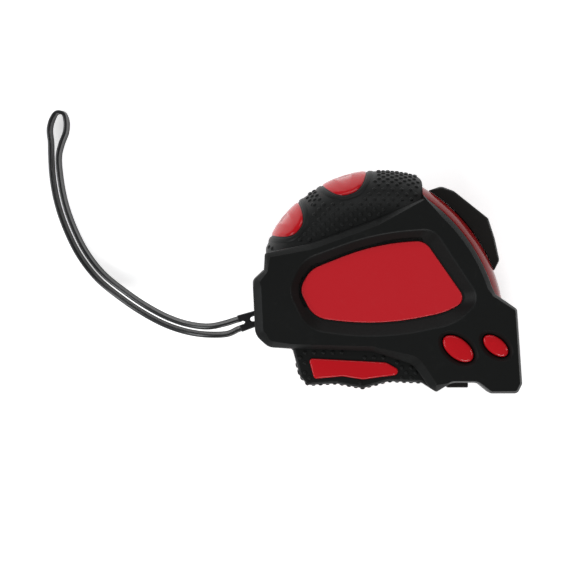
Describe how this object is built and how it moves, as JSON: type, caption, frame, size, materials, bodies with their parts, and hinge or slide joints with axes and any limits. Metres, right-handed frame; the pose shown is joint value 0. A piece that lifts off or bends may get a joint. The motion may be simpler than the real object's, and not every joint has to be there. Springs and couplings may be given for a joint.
{
  "type": "tape measure",
  "caption": "Pocket tape measure with a red and black rubber-jacketed case, a thumb lock, a belt clip and a doubled wrist strap.",
  "frame": {"origin": "on the surface the tape measure lies on, under the middle of the case's box", "axes": "+Z along the reel's axle, from the belt clip to the uppermost side; +X towards the mouth; +Y towards the top of the case"},
  "size_m": [0.1497, 0.0895, 0.045],
  "materials": {
    "red_plastic": "gloss",
    "label_red": "satin",
    "black_rubber": "satin",
    "black_plastic": "satin",
    "grey_plastic": "matte",
    "spring_steel": "satin",
    "blade_yellow": "satin",
    "plated_steel": "polished",
    "strap_rubber": "matte"
  },
  "bodies": {
    "case": {"near_shell": "red_plastic", "far_shell": "red_plastic", "near_jacket": "black_rubber", "far_jacket": "black_rubber", "near_label": "label_red", "far_label": "label_red", "spring_arbor": "grey_plastic", "mainspring": "spring_steel", "mouth_bumper": "black_rubber", "lock_spring": "spring_steel", "brake_spring": "spring_steel", "case_screws": "plated_steel", "belt_clip": "spring_steel", "clip_screw": "plated_steel", "strap_bar": "plated_steel", "strap_neck": "black_plastic", "wrist_strap": "strap_rubber"},
    "reel": {"reel_drum": "grey_plastic", "drum_cover": "grey_plastic", "tape_coil": "blade_yellow"},
    "blade": {"tape_blade": "blade_yellow", "hook_rivets": "plated_steel"},
    "hook": {"end_hook": "plated_steel"},
    "lock": {"thumb_lock": "black_plastic", "brake_pad": "black_rubber"},
    "finger_button": {"finger_brake": "black_plastic"}
  },
  "joints": [
    {"name": "tape_pull", "type": "slide", "parent": "case", "child": "blade", "axis": [1, 0, 0], "range_m": [0, 0.034], "stiffness_N_per_m": 20, "springref_m": -0.2},
    {"name": "hook_play", "type": "slide", "parent": "blade", "child": "hook", "axis": [1, 0, 0], "range_m": [0, 0.0009]},
    {"name": "reel_spin", "type": "hinge", "parent": "case", "child": "reel", "pos_m": [-0.0018, -0.003, 0.0255], "axis": [0, 0, 1], "range_deg": [0, 82], "deforming": ["mainspring"]},
    {"name": "thumb_lock", "type": "hinge", "parent": "case", "child": "lock", "pos_m": [-0.01564, -0.01553, 0.0255], "axis": [0, 0, 1], "range_deg": [-8.5, 0]},
    {"name": "finger_brake", "type": "slide", "parent": "case", "child": "finger_button", "axis": [0, 1, 0], "range_m": [0, 0.0015], "stiffness_N_per_m": 800, "springref_m": -0.001, "deforming": ["brake_spring"]}
  ],
  "couplings": [
    {"joint": "reel_spin", "follows": "tape_pull", "rad_per_m": 41.73}
  ]
}
